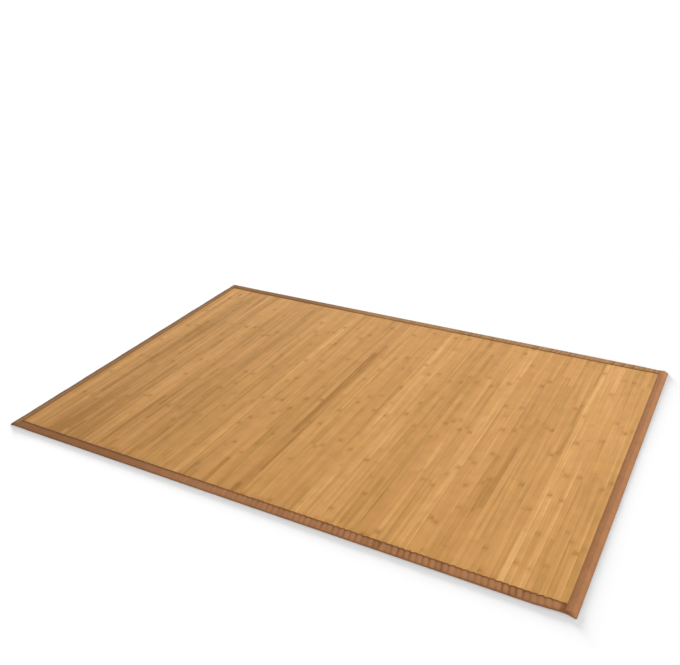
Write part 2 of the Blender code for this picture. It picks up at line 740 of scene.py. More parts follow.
@dataclass(frozen=True)
class Finish:
    """What a piece wears. Colours are linear, and lengths are in metres.

    Attributes:
        name: The material's name.
        patch_size: Size of the patches of use.
        patches: How far they swing the colour.
        roughness: The middle of the roughness.
        specular: The strength of the shine.
        fuzz: The strength of the sheen.
        relief: Strength and depth of the surface.
    """

    name: str
    patch_size: float
    patches: float
    roughness: float
    specular: float = 0.5
    fuzz: float = 0.0
    relief: Point = (0.4, 0.0001)

    def draw(self, graph: Graph, effects: Effects, spot: Value, worn: Value) -> tuple[Value, Value, Value]:
        """Draws the clean colour, the roughness and the height, from the place and the patina."""
        raise NotImplementedError

    def build(self, effects: Effects) -> Material:
        """Builds the material.

        Args:
            effects: The shared node groups.

        Returns:
            The material.
        """
        material, graph = new_material(self.name)
        spot = graph.add("TexCoord", None, "Object")
        worn = effects.patina.put(graph, Vector=spot, Size=self.patch_size, Amount=self.patches)["Factor"]
        colour, rough, height = self.draw(graph, effects, spot, worn)
        grey = graph.add("CombineColor", {0: worn, 1: worn, 2: worn})
        bump = {"Height": height, "Strength": self.relief[0], "Distance": self.relief[1]}
        graph.dress(
            {
                "Base Color": graph.mix(1.0, colour, grey, "MULTIPLY"),
                "Roughness": rough,
                "Specular IOR Level": self.specular,
                "Sheen Weight": self.fuzz,
                "Normal": graph.add("Bump", bump),
            }
        )
        return material


@dataclass(frozen=True)
class BambooFinish(Finish):
    """Oiled, heat-darkened bamboo.

    Attributes:
        deep, tan, honey, golden, pale: The tones from dark to light.
        stops: Where they lie on the scale from 0 to 1.
        rosy: The colour of a blush.
        mark: The colour of culm marks, cracks and bruised edges.
        node_spacing: Distance between culm nodes.
        node_height: Height of a culm node's line beside the fibres'.
        gloss: How far the fibres swing the roughness.
        stripes, lines, shifts, glints: How far each of these moves the tone.
        blush, halos, marks, cracks, edges: How much each of these covers.
    """

    name: str = "bamboo"
    patch_size: float = 0.04
    patches: float = 0.13
    roughness: float = 0.46
    specular: float = 0.32
    relief: Point = (0.3, 0.0001)
    deep: Colour = (0.345, 0.147, 0.016)
    tan: Colour = (0.456, 0.223, 0.047)
    honey: Colour = (0.545, 0.267, 0.067)
    golden: Colour = (0.615, 0.312, 0.091)
    pale: Colour = (0.700, 0.390, 0.130)
    stops: tuple[float, ...] = (0.0, 0.30, 0.55, 0.80, 1.0)
    rosy: Colour = (0.525, 0.243, 0.066)
    mark: Colour = (0.325, 0.128, 0.004)
    node_spacing: float = 0.29
    node_height: float = 0.3
    gloss: float = 0.14
    stripes: float = 0.45
    lines: float = 0.17
    shifts: float = 0.25
    glints: float = 0.12
    blush: float = 0.6
    halos: float = 0.30
    marks: float = 0.52
    cracks: float = 0.20
    edges: float = 0.10

    def draw(self, graph: Graph, effects: Effects, spot: Value, worn: Value) -> tuple[Value, Value, Value]:
        """Draws the tone of each slat, its fibres and its culm nodes.

        Args:
            graph: The material's nodes.
            effects: The shared node groups.
            spot: Coordinates in metres.
            worn: The patina, which leaves the roughness alone here.

        Returns:
            The colour, the roughness and the height.
        """
        seed, tone = graph.value_of("seed"), graph.value_of("tone")
        fibres = effects.fibres.put(graph, Vector=spot, Seed=seed)
        culm = effects.culm.put(
            graph,
            Turn=graph.value_of("turn"),
            Across=graph.value_of("across"),
            Vector=spot,
            Seed=seed,
            Spacing=self.node_spacing,
        )
        tone = tone + fibres["Stripe"].swing(self.stripes) + fibres["Line"].swing(self.lines)
        tone = tone + culm["Shift"] * self.shifts + fibres["Glint"] * self.glints
        colour = graph.add("ValToRGB", {"Fac": tone}, "Color")
        self.fill(colour.socket.node.color_ramp)
        for mask, amount, target in (
            ((graph.value_of("blush") + culm["Shift"]).stretch(0.0, 1.0), self.blush, self.rosy),
            (culm["Halo"], self.halos, self.deep),
            (culm["Mark"], self.marks, self.mark),
            (fibres["Crack"], self.cracks, self.mark),
            (graph.value_of("edge"), self.edges, self.mark),
        ):
            colour = graph.mix(mask * amount, colour, target)
        rough = fibres["Line"].swing(self.gloss) + self.roughness
        return colour, rough, fibres["Height"] + culm["Height"] * self.node_height

    def fill(self, scale: bpy.types.ColorRamp) -> None:
        """Sets the colours from dark to light.

        Args:
            scale: The colour ramp.
        """
        tones = (self.deep, self.tan, self.honey, self.golden, self.pale)
        while len(scale.elements) < len(tones):
            scale.elements.new(0.5)
        for element, position, colour in zip(scale.elements, self.stops, tones, strict=True):
            element.position = position
            element.color = rgba(colour)


@dataclass(frozen=True)
class ClothFinish(Finish):
    """Brown woven tape.

    Attributes:
        colour: The cloth in the hollows of the weave.
        light: The cloth on its threads, and the colour of its painted highlight.
        shade_and_dirt_colour: The colour of painted shade and dirt.
        pitch: Distance from thread to thread.
        threads: The weave's shades that become hollow and thread.
        painted_highlight: How much the painted highlight lightens the cloth.
        shade_and_dirt: How much painted shade and dirt cover.
    """

    name: str = "tape_cloth"
    patch_size: float = 0.05
    patches: float = 0.22
    roughness: float = 0.88
    specular: float = 0.12
    fuzz: float = 0.06
    relief: Point = (0.6, 0.00025)
    colour: Colour = (0.262, 0.110, 0.041)
    light: Colour = (0.400, 0.179, 0.074)
    shade_and_dirt_colour: Colour = (0.152, 0.052, 0.008)
    pitch: float = 0.0009
    threads: Point = (0.35, 1.15)
    painted_highlight: float = 0.68
    shade_and_dirt: float = 0.92

    def draw(self, graph: Graph, effects: Effects, spot: Value, worn: Value) -> tuple[Value, Value, Value]:
        """Draws the weave, the painted highlight, and the painted shade and dirt.

        Args:
            graph: The material's nodes.
            effects: The shared node groups.
            spot: Coordinates in metres, which the weave leaves for its own flat ones.
            worn: The patina.

        Returns:
            The colour, the roughness and the height.
        """
        flat = graph.add("UVMap", None, "UV", uv_map="UVMap")
        weave = effects.weave.put(graph, Vector=flat, Pitch=self.pitch)
        colour = graph.mix(weave["Shade"].stretch(*self.threads), self.colour, self.light)
        # Painted highlight on the bulges and the droop.
        colour = graph.mix(graph.value_of("painted_highlight") * self.painted_highlight, colour, self.light)
        # Painted shade, with dirt along the stitches.
        colour = graph.mix(graph.value_of("shade_and_dirt") * self.shade_and_dirt, colour, self.shade_and_dirt_colour)
        return colour, worn * self.roughness, weave["Height"]


@dataclass(frozen=True)
class ThreadFinish(Finish):
    """Dark sewing thread.

    Attributes:
        colour: The thread in the hollows of its twist.
        light: The thread on top of it.
        pitch: Distance from turn to turn.
    """

    name: str = "thread"
    patch_size: float = 0.03
    patches: float = 0.15
    roughness: float = 0.7
    colour: Colour = (0.120, 0.055, 0.028)
    light: Colour = (0.190, 0.090, 0.045)
    pitch: float = 0.0004

    def draw(self, graph: Graph, effects: Effects, spot: Value, worn: Value) -> tuple[Value, Value, Value]:
        """Draws the twist, as the colour, the roughness and the height."""
        twist = effects.weave.put(graph, Vector=spot, Pitch=self.pitch)["Height"]
        return graph.mix(twist, self.colour, self.light), worn * self.roughness, twist


# ----- The slats -----


@dataclass
class SlatField:
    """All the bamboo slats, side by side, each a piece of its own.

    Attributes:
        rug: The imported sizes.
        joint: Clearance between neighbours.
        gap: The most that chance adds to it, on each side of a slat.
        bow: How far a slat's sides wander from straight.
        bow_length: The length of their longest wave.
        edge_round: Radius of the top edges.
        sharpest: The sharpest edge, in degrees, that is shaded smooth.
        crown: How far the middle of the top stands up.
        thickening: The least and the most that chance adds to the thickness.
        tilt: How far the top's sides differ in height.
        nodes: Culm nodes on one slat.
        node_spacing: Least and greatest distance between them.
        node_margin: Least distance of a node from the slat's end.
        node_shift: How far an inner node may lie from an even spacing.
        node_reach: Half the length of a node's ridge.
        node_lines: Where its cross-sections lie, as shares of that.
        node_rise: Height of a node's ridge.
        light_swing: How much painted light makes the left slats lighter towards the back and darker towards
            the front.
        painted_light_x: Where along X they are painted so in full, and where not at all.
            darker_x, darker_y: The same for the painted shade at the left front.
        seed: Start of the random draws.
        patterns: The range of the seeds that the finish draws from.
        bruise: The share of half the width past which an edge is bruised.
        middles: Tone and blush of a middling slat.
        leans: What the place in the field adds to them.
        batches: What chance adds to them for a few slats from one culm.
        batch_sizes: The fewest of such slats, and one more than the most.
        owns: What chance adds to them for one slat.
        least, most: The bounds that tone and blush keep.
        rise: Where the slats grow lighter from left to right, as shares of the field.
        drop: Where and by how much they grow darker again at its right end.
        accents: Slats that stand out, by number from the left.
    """

    rug: RugFrame
    joint: float = 0.00004
    gap: float = 0.00004
    bow: float = 0.00005
    bow_length: float = 0.5
    edge_round: float = 0.00016
    sharpest: float = 50.0
    crown: float = 0.00006
    thickening: Point = (-0.00012, 0.00005)
    tilt: float = 0.00004
    nodes: int = 4
    node_spacing: Point = (0.272, 0.300)
    node_margin: float = 0.006
    node_shift: float = 0.010
    node_reach: float = 0.0045
    node_lines: tuple[float, ...] = (-1.0, -0.45, 0.0, 0.45, 1.0)
    node_rise: float = 0.00022
    light_swing: float = 0.12
    painted_light_x: Point = (-0.30, 0.25)
    darker_x: Point = (-0.90, -0.45)
    darker_y: Point = (-0.60, -0.20)
    seed: int = 11
    patterns: float = 90.0
    bruise: float = 0.97
    middles: Point = (0.425, 0.08)
    leans: Point = (0.125, 0.24)
    batches: Point = (0.07, 0.20)
    batch_sizes: tuple[int, int] = (1, 4)
    owns: Point = (0.065, 0.10)
    least: Point = (0.1, 0.0)
    most: Point = (0.95, 1.0)
    rise: Point = (0.48, 0.26)
    drop: Triple = (0.94, 0.88, 0.7)
    accents: dict[int, Accent] = field(
        default_factory=lambda: {
            **dict.fromkeys((2, 37, 61, 80), Accent.BRIGHT),
            **dict.fromkeys((6, 8, 13, 50), Accent.DEEP),
            **dict.fromkeys((28, 33, 35, 73), Accent.ROSY),
            49: Accent.SMOKED,
            95: Accent.PALE,
        }
    )

    def build(self, finish: Material) -> list[Piece]:
        """Models one slat and copies it over the whole field.

        Args:
            finish: The bamboo material.

        Returns:
            The slats, from left to right.
        """
        blank = self.blank()
        blank.data.materials.append(finish)
        draw = np.random.default_rng(self.seed)
        slats = [self.lay(blank, number, look, draw) for number, look in enumerate(self.looks(draw))]
        bpy.data.objects.remove(blank)
        return slats

    def stations(self, nodes: np.ndarray) -> np.ndarray:
        """Where the slat's cross-sections lie, from end to end.

        Args:
            nodes: The culm nodes' places.

        Returns:
            The places along Y in order.
        """
        reach = self.node_reach * np.array(self.node_lines)
        ridges = (nodes[:, None] + reach).ravel()
        ends = [self.rug.panel_y, self.rug.bench_y, self.rug.floor_y]
        return np.sort(np.concatenate([ridges, ends, np.negative(ends)]))

    def even_nodes(self) -> np.ndarray:
        """Culm nodes in the middle of equal stretches."""
        spacing = 2.0 * self.rug.panel_y / self.nodes
        return (np.arange(self.nodes) + 0.5) * spacing - self.rug.panel_y

    def own_nodes(self, draw: np.random.Generator) -> np.ndarray:
        """Culm nodes as they grew on one slat.

        Args:
            draw: The random draws.

        Returns:
            The places along Y in order, with one more past each end of the slat.
        """
        half = self.rug.panel_y - self.node_margin
        spacing = draw.uniform(*self.node_spacing)
        start = draw.uniform(0.0, 2.0 * half - (self.nodes - 1) * spacing) - half
        nodes = start + np.arange(-1, self.nodes + 1) * spacing
        nodes[2:-2] += draw.uniform(-self.node_shift, self.node_shift, self.nodes - 2)
        return nodes

    def blank(self) -> Piece:
        """Models the plain slat at the rug's middle.

        Returns:
            A slat with rounded top edges, a crown and a section at each station.
        """
        width, thickness = self.rug.pitch - self.joint, self.rug.slat_thickness
        stations = self.stations(self.even_nodes())
        deselect_all()
        bpy.ops.mesh.primitive_plane_add(
            size=1.0, location=(0.0, stations[0], thickness / 2.0), rotation=(math.pi / 2.0, 0.0, 0.0)
        )
        slat = bpy.context.object
        slat.scale = (width, thickness, 1.0)
        freeze(slat)
        with editing(slat):
            choose(slat, "EDGE", lambda spot: spot.z > thickness * 0.5)
            bpy.ops.mesh.subdivide(number_cuts=3)
            choose(slat, "VERT", lambda spot: spot.z > thickness * 0.5 and abs(spot.x) > width * 0.49)
            bpy.ops.mesh.bevel(offset=self.edge_round, segments=2, affect="VERTICES")
            choose(slat, "VERT", lambda spot: spot.z < thickness * 0.5)
            bpy.ops.mesh.bevel(offset=self.edge_round / 2.0, segments=1, affect="VERTICES")
            bpy.ops.mesh.select_mode(type="FACE")
            bpy.ops.mesh.select_all(action="SELECT")
            for here, there in zip(stations, stations[1:]):
                bpy.ops.mesh.extrude_region_move(TRANSFORM_OT_translate={"value": (0.0, there - here, 0.0)})
            bpy.ops.mesh.select_all(action="SELECT")
            bpy.ops.mesh.normals_make_consistent(inside=False)
        shade(slat, self.sharpest)
        return slat

    def looks(self, draw: np.random.Generator) -> np.ndarray:
        """The tone and the blush of each slat.

        Neighbours come in batches from one culm, so they are alike for a few slats.
        The slats towards the right are a little lighter and warmer.

        Args:
            draw: The random draws.

        Returns:
            One row (tone, blush) for each slat.
        """
        count = self.rug.slat_count
        share = np.arange(count) / count
        lean = soft_ramp(share, *self.rise) - self.drop[2] * soft_ramp(share, *self.drop[:2])
        looks = np.array(self.middles) + np.outer(lean, self.leans)
        batch, left = np.zeros(2), 0
        for number in range(count):
            if left == 0:
                batch = draw.normal(0.0, self.batches)
                left = int(draw.integers(*self.batch_sizes))
            left -= 1
            looks[number] += batch + draw.normal(0.0, self.owns)
            if number in self.accents:
                looks[number] = self.accents[number].value
        return np.clip(looks, self.least, self.most)

    def painted_light(self, across: float, along: np.ndarray) -> np.ndarray:
        """Painted light on the tone of the left slats: lighter towards the back, darker towards the front
        and darkest at the left front.

        Args:
            across: The slat's place.
            along: Places on the slat.

        Returns:
            The change of tone, above 0 towards the back and least at the left front.
        """
        swing = self.light_swing * soft_ramp(across, *self.painted_light_x) * along / self.rug.panel_y
        left_darkening = soft_ramp(across, *self.darker_x) * soft_ramp(along, *self.darker_y)
        return swing - self.light_swing * left_darkening

    def lay(self, blank: Piece, number: int, look: np.ndarray, draw: np.random.Generator) -> Piece:
        """Copies the blank to its place and gives it its own nodes and unevenness.

        Args:
            blank: The modelled slat.
            number: The slat's number from the left.
            look: Its tone and blush.
            draw: The random draws.

        Returns:
            The slat, riding on the rug.
        """
        rug = self.rug
        nodes = self.own_nodes(draw)
        slat = bpy.data.objects.new(f"slat_{number + 1:03d}", blank.data.copy())
        slat.data.name = slat.name
        bpy.context.collection.objects.link(slat)
        spots = places(slat)
        even, own = self.stations(self.even_nodes()), self.stations(nodes[1:-1])
        length = own[np.abs(spots[:, 1, None] - even).argmin(axis=1)]
        middle = (number + 0.5) * rug.pitch - rug.panel_x
        across = spots[:, 0] / (0.5 * (rug.pitch - self.joint))
        wander = self.bow * ripple(length + across, int(draw.integers(1 << 30)), self.bow_length)
        gaps = draw.uniform(0.0, self.gap, 2)
        x = middle + spots[:, 0] + wander * np.abs(across)
        x -= np.where(across > 0.5, gaps[1], 0.0) - np.where(across < -0.5, gaps[0], 0.0)
        at_end = np.isclose(np.abs(length), rug.panel_y)
        y = length - np.sign(length) * rug.drawn_in(x) * at_end
        near = np.abs(length[:, None] - nodes[1:-1]).min(axis=1)
        ridge = self.node_rise * np.exp(-((near / (0.5 * self.node_reach)) ** 2))
        thickness = rug.slat_thickness + draw.uniform(*self.thickening)
        tilt = draw.normal(0.0, self.tilt) * across
        top = thickness + self.crown * (1.0 - across**2) + tilt + ridge
        z = spots[:, 2] / rug.slat_thickness * top + rug.lift_x(x) + rug.lift_y(y)
        place(slat, np.stack([x, y, z], axis=1))
        mark(slat, "across", across)
        mark(slat, "turn", np.interp(length, nodes, np.arange(len(nodes))))
        # The tone carries painted light: lighter towards the back, painted shade at the left front.
        mark(slat, "tone", look[0] + self.painted_light(middle, y))
        mark(slat, "blush", look[1])
        mark(slat, "seed", draw.uniform(0.0, self.patterns))
        bruised = draw.uniform(0.0, 1.0, 2) ** 2
        on_edge = np.abs(across) > self.bruise
        mark(slat, "edge", np.where(across > 0.0, bruised[1], bruised[0]) * on_edge)
        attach(slat, BODY)
        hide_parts("slat_panel")
        return slat


# ----- The bindings -----


class Spots(NamedTuple):
    """Places on a tape's plain section, before the cloth is laid over the rug.

    Attributes:
        run: Distances along the edge.
        out: Distances outwards from the rug's middle.
        up: Heights.
    """

    run: np.ndarray
    out: np.ndarray
    up: np.ndarray


@dataclass
class Stitches:
    """A row of sewing stitches, modelled once and repeated along a line.

    Attributes:
        length: One stitch's visible length.
        thickness: The thread's thickness.
        sink: How deep its ends go into the cloth.
        lift: How far its middle line stands above the cloth, in thicknesses.
        cuts: Where it can bend, as shares of its length.
        sides: How many sides the thread has.
    """

    length: float = 0.0034
    thickness: float = 0.0007
    sink: float = 0.0005
    lift: float = 0.1
    cuts: Triple = (-0.3, 0.0, 0.3)
    sides: int = 6

    def row(
        self, name: str, count: int, pitch: float, follow: Callable[[np.ndarray, np.ndarray], np.ndarray]
    ) -> Piece:
        """Sews one row.

        Args:
            name: The piece's name.
            count: How many stitches.
            pitch: Distance from stitch to stitch.
            follow: Gives the cloth's surface (x, y, z) for distances along the row,
                counted from its middle, and across it.

        Returns:
            The stitches as one mesh.
        """
        deselect_all()
        bpy.ops.mesh.primitive_cylinder_add(
            vertices=self.sides,
            radius=self.thickness / 2.0,
            depth=self.length,
            rotation=(0.0, math.pi / 2.0, 0.0),
        )
        stitch = bpy.context.object
        stitch.name = stitch.data.name = name
        freeze(stitch)
        with editing(stitch):
            for share in self.cuts:
                bpy.ops.mesh.select_all(action="SELECT")
                bpy.ops.mesh.bisect(plane_co=(share * self.length, 0.0, 0.0), plane_no=(1.0, 0.0, 0.0))
        apply_modifier(
            stitch,
            "ARRAY",
            count=count,
            use_relative_offset=False,
            use_constant_offset=True,
            constant_offset_displace=(pitch, 0.0, 0.0),
        )
        spots = places(stitch)
        local = spots[:, 0] - pitch * np.round(spots[:, 0] / pitch)
        dip = self.sink * np.abs(local / (0.5 * self.length)) ** 3
        base = follow(spots[:, 0] - 0.5 * (count - 1) * pitch, spots[:, 1])
        base[:, 2] += spots[:, 2] - dip + self.lift * self.thickness
        place(stitch, base)
        shade(stitch)
        return stitch


@dataclass
class Binding:
    """A cloth tape folded over one edge of the rug.

    Attributes:
        node: The CAD node that it replaces.
        side: The side on which it lies.
        rug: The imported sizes.
        seed: Start of the tape's own unevenness.
        hem: Distance of the stitches from the tape's inner edge.
        hem_width: Width of the darker stretch along the inner edge.
        hem_full: Share of that width over which it is darkest.
        flap_heights: Shares of the fold's height for all of on_top() and for nothing.
        turn_down: How far the inner edge is turned down.
        low_lines: Distances of the lower flap's lines from its inner edge.
        stitches_per_slat: Stitches to a slat's width.
        outer: The fold's distance from the rug's middle.
        inner: The inner edge's distance from it.
        sewn: Length of the row of stitches.
    """

    node: str
    side: Side
    rug: RugFrame
    seed: int
    hem: float = 0.0021
    hem_width: float = 0.0072
    hem_full: float = 0.55
    flap_heights: Point = (0.9, 0.55)
    turn_down: float = 0.0003
    low_lines: tuple[float, ...] = ()
    stitches_per_slat: int = 4
    outer: float = field(init=False)
    inner: float = field(init=False)
    sewn: float = field(init=False)

    def section(self) -> list[Point]:
        """The tape's section, as (outwards, up) from lower hem to upper hem."""
        raise NotImplementedError

    def along(self) -> np.ndarray:
        """The places of the tape's cross lines."""
        raise NotImplementedError

    def fold(self, spots: Spots) -> np.ndarray:
        """Gives places on the cloth their rows (x, y, z)."""
        raise NotImplementedError

    def painted_highlight(self, spots: Spots) -> np.ndarray:
        """How much painted highlight the cloth gets, from 0 to 1."""
        raise NotImplementedError

    def shade_and_dirt(self, spots: Spots) -> np.ndarray:
        """How much painted shade and dirt the cloth gets, from 0 to 1."""
        raise NotImplementedError

    def lower_flap(self) -> list[Point]:
        """The section's points on the lower flap, from its inner edge outwards."""
        return [(self.inner + off, 0.0) for off in self.low_lines]

    def lengths(self) -> np.ndarray:
        """Distance round the section at each of its points."""
        steps = np.linalg.norm(np.diff(np.array(self.section()), axis=0), axis=1)
        return np.concatenate([[0.0], np.cumsum(steps)])

    def on_top(self, up: np.ndarray) -> np.ndarray:
        """1 on the upper flap, 0 on the lower one."""
        return ramp(up, *(self.rug.fold_height * share for share in self.flap_heights))

    def near_hem(self, spots: Spots) -> np.ndarray:
        """1 at the upper flap's inner edge, falling off over the hem's width."""
        full, none = (self.inner + share * self.hem_width for share in (self.hem_full, 1.0))
        return soft_ramp(spots.out, full, none) * self.on_top(spots.up)

    def on_hem(self, run: np.ndarray, off: np.ndarray) -> np.ndarray:
        """The cloth's surface for distances along the stitches and across them."""
        return self.fold(Spots(run, self.inner + self.hem + off, np.full_like(run, self.rug.fold_height)))

    def tape(self) -> Piece:
        """Cuts the tape flat, folds it and gives it its thickness.

        Returns:
            The tape, not yet riding on the rug.
        """
        points, run = np.array(self.section()), self.along()
        cuts = np.array([len(run) - 1, len(points) - 1])
        deselect_all()
        bpy.ops.mesh.primitive_grid_add(x_subdivisions=cuts[0], y_subdivisions=cuts[1], size=2.0)
        tape = bpy.context.object
        tape.name = tape.data.name = self.node.replace("binding", "tape")
        column, row = np.rint((places(tape)[:, :2] + 1.0) / 2.0 * cuts).astype(int).T
        corners = np.empty(len(tape.data.loops), dtype=np.int32)
        tape.data.loops.foreach_get("vertex_index", corners)
        flat = np.stack([run[column], self.lengths()[row]], axis=1)
        tape.data.uv_layers.active.data.foreach_set("uv", flat[corners].ravel())
        spots = Spots(run[column], points[row, 0], points[row, 1])
        place(tape, self.fold(spots))
        # Painted highlight on the bulges and the droop.
        mark(tape, "painted_highlight", self.painted_highlight(spots))
        # Painted shade, with dirt along the stitches.
        mark(tape, "shade_and_dirt", self.shade_and_dirt(spots))
        highest = max(tape.data.polygons, key=lambda face: face.center.z)
        if highest.normal.z < 0.0:
            with editing(tape):
                bpy.ops.mesh.select_all(action="SELECT")
                bpy.ops.mesh.flip_normals()
        apply_modifier(tape, "SOLIDIFY", thickness=self.rug.cloth, offset=-1.0, use_even_offset=True)
        shade(tape)
        return tape

    def sew(self) -> Piece:
        """Sews an even row along the inner edge.

        Returns:
            The stitches, not yet riding on the rug.
        """
        pitch = self.rug.pitch / self.stitches_per_slat
        name = self.node.replace("binding", "stitches")
        return Stitches().row(name, round(self.sewn / pitch), pitch, self.on_hem)

    def build(self, cloth: Material, thread: Material) -> tuple[Piece, Piece]:
        """Makes the tape and its stitches and puts them on the rug.

        Args:
            cloth: The tape's material.
            thread: The stitches' material.

        Returns:
            The tape and the stitches.
        """
        tape, stitches = self.tape(), self.sew()
        for piece, finish in ((tape, cloth), (stitches, thread)):
            piece.data.materials.append(finish)
            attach(piece, BODY)
        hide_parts(self.node)
        run = self.along()
        float(self.lengths()[-1])
        return tape, stitches


@dataclass
class LongBinding(Binding):
    """Tape over the slats' ends, drawn in at each joint and bulging over each slat.

    Attributes:
        puckers: How high it bulges at the left end and at the right end.
        jags: How far its inner edge runs askew on a slat, left and right.
        sizes: The least and the greatest size of a bulge beside those.
        skews: The same for how far askew a stretch runs.
        tooth: The rise of such a stretch over its slat, as a power, and its middle.
        lean: How far the puckers move to the right, for each metre outwards.
        stations_per_slat: Cross lines to a slat.
        flap_lines: Where the upper flap's lines lie, as shares of its width.
        shoulder: Radius of the upper bend.
        heel: Radius of the lower bend.
        pinch: How far the wall is drawn in at a joint.
        wall: Its depth and its height.
        slide_margin: How far from the outer fold the cloth stops running askew.
        held: How much of a bulge the stitches hold down.
        held_reach: How far from them.
        wave: Height of the flap's slow waves.
        wave_length: The longest wave.
        wave_slant: How far the waves move to the left, for each metre outwards.
        growth: Where on the edge the right end's values are full and the left end's.
        highlight_spread: How strong the painted highlight on the bulges is, left and right.
        foot_shade: Painted shade low on the wall.
        foot: Its full and its greatest height, and its depth.
        crease_shades: Painted shade in the puckers, left and right.
        crease_fall: How fast it thins out as a bulge rises.
        creases: The least and the greatest share of that at a joint.
        hems: The same along the stitches on a slat.
        hem_shade_and_dirt: Painted shade and dirt along the stitches.
        left_darkening: Dirt on the left half.
        darker_x: Where on the edge it is full, and where it ends.
    """

    puckers: Point = (0.00022, 0.0010)
    jags: Point = (0.0006, 0.0036)
    sizes: Point = (0.40, 1.35)
    skews: Point = (0.3, 1.3)
    tooth: Point = (1.5, 0.4)
    lean: float = 0.25
    stations_per_slat: int = 6
    low_lines: tuple[float, ...] = (0.0, 0.010, 0.020)
    flap_lines: tuple[float, ...] = (0.85, 0.68, 0.5, 0.34, 0.2, 0.13, 0.08, 0.03)
    shoulder: float = 0.0022
    heel: float = 0.0009
    pinch: float = 0.0004
    wall: Point = (0.003, 0.0040)
    slide_margin: float = 0.006
    held: float = 0.55
    held_reach: float = 0.003
    wave: float = 0.00012
    wave_length: float = 0.045
    wave_slant: float = 1.7
    growth: Point = (0.45, -0.45)
    highlight_spread: Point = (0.30, 1.0)
    foot_shade: float = 0.75
    foot: Triple = (0.0010, 0.0042, 0.010)
    crease_shades: Point = (0.03, 0.80)
    crease_fall: float = 1.5
    creases: Point = (0.05, 1.20)
    hems: Point = (0.8, 1.0)
    hem_shade_and_dirt: float = 1.0
    left_darkening: float = 0.50
    darker_x: Point = (-0.56, -0.10)

    def __post_init__(self) -> None:
        """Takes the edge's places from the rug."""
        self.outer, self.inner = self.rug.long_outer, self.rug.long_inner
        self.sewn = (self.rug.slat_count - 2) * self.rug.pitch

    def section(self) -> list[Point]:
        """Lower flap, wall and upper flap, with round folds and a turned-down hem.

        Returns:
            The points, from lower hem to upper hem.
        """
        outer, inner = self.outer, self.inner
        top, bend, heel = self.rug.fold_height, self.shoulder, self.heel
        lower = arc((outer - heel, heel), heel, -90.0, 0.0, 3)
        upper = arc((outer - bend, top - bend), bend, 0.0, 90.0, 5)
        flap = [(inner + share * (outer - bend - inner), top) for share in self.flap_lines]
        return [*self.lower_flap(), *lower, *upper, *flap, (inner, top - self.turn_down)]

    def along(self) -> np.ndarray:
        """Cross lines at every joint and between."""
        count = self.rug.slat_count * self.stations_per_slat
        return np.linspace(-self.rug.panel_x, self.rug.panel_x, count + 1)

    def grown(self, run: np.ndarray, pair: Point) -> np.ndarray:
        """A value that grows from the left end to the right."""
        return pair[0] + (pair[1] - pair[0]) * soft_ramp(run, *self.growth)

    def own(self, run: np.ndarray, series: Series, bounds: Point) -> np.ndarray:
        """A chance value for the slat under each place.

        Args:
            run: Distance along the edge.
            series: What the values are for.
            bounds: The least value and the greatest.

        Returns:
            One value for each place.
        """
        count = self.rug.slat_count
        values = np.random.default_rng(self.seed + series.value).uniform(*bounds, count)
        number = np.floor((run + self.rug.panel_x) / self.rug.pitch).astype(int)
        return values[np.clip(number, 0, count - 1)]

    def swell(self, run: np.ndarray, out: np.ndarray) -> np.ndarray:
        """The bulge over each slat.

        Args:
            run: Distance along the edge.
            out: Distance outwards from the rug's middle.

        Returns:
            Values from 0 at a joint to about 1 in between.
        """
        rug = self.rug
        slanted = run - self.lean * (out - self.inner)
        turns = (slanted + rug.panel_x) / rug.pitch
        ends = 1.0 - soft_ramp(np.abs(run), rug.bench_x, rug.bench_x - rug.pitch)
        return np.sin(math.pi * (turns % 1.0)) * self.own(slanted, Series.SIZE, self.sizes) * ends

    def skew(self, run: np.ndarray) -> np.ndarray:
        """The inner edge's saw teeth: each slat's stretch of hem lies askew.

        Args:
            run: Distance along the edge.

        Returns:
            How far askew the hem lies, beside the jags.
        """
        part = ((run + self.rug.panel_x) / self.rug.pitch) % 1.0
        power, middle = self.tooth
        return (part**power - middle) * self.own(run, Series.SKEW, self.skews)

    def fold(self, spots: Spots) -> np.ndarray:
        """Places the cloth, with its puckers and its drawn-in corners.

        Args:
            spots: Places on the plain section.

        Returns:
            Rows (x, y, z).
        """
        rug, (run, out, up) = self.rug, spots
        swell, on_top = self.swell(run, out), self.on_top(up)
        from_stitches = (out - self.inner - self.hem) / self.held_reach
        held = 1.0 - self.held * np.exp(-(from_stitches**2))
        height = up + on_top * self.grown(run, self.puckers) * swell * held
        seed = self.seed + Series.WAVE.value
        height += on_top * self.wave * ripple(run + self.wave_slant * out, seed, self.wave_length)
        height += rug.lift_x(run)
        inward = ramp(out, self.inner, self.outer - self.slide_margin) * on_top
        slide = self.grown(run, self.jags) * self.skew(run) * inward
        depth, high = self.wall
        wall = ramp(out, self.outer, self.outer - depth) * ramp(up, high, rug.cloth)
        pull = self.pinch * (1.0 - np.minimum(swell, 1.0)) * wall
        drawn = rug.drawn_in(run) * ramp(out, self.outer, self.inner)
        return np.stack([run, self.side.value * (out - slide - pull - drawn), height], axis=1)

    def painted_highlight(self, spots: Spots) -> np.ndarray:
        """Painted highlight, full over each slat's middle on the upper flap."""
        share = np.clip(self.swell(spots.run, spots.out), 0.0, 1.0)
        return share * self.on_top(spots.up) * self.grown(spots.run, self.highlight_spread)

    def shade_and_dirt(self, spots: Spots) -> np.ndarray:
        """Painted shade low on the wall and in the puckers, painted shade and dirt along the stitches, and
        dirt on the left half.

        Args:
            spots: Places on the plain section.

        Returns:
            Values from 0 to 1.
        """
        run, out, up = spots
        full, none, depth = self.foot
        # Painted shade low on the wall, where it meets the floor.
        low = self.foot_shade * soft_ramp(up, full, none) * ramp(out, self.outer, self.outer - depth)
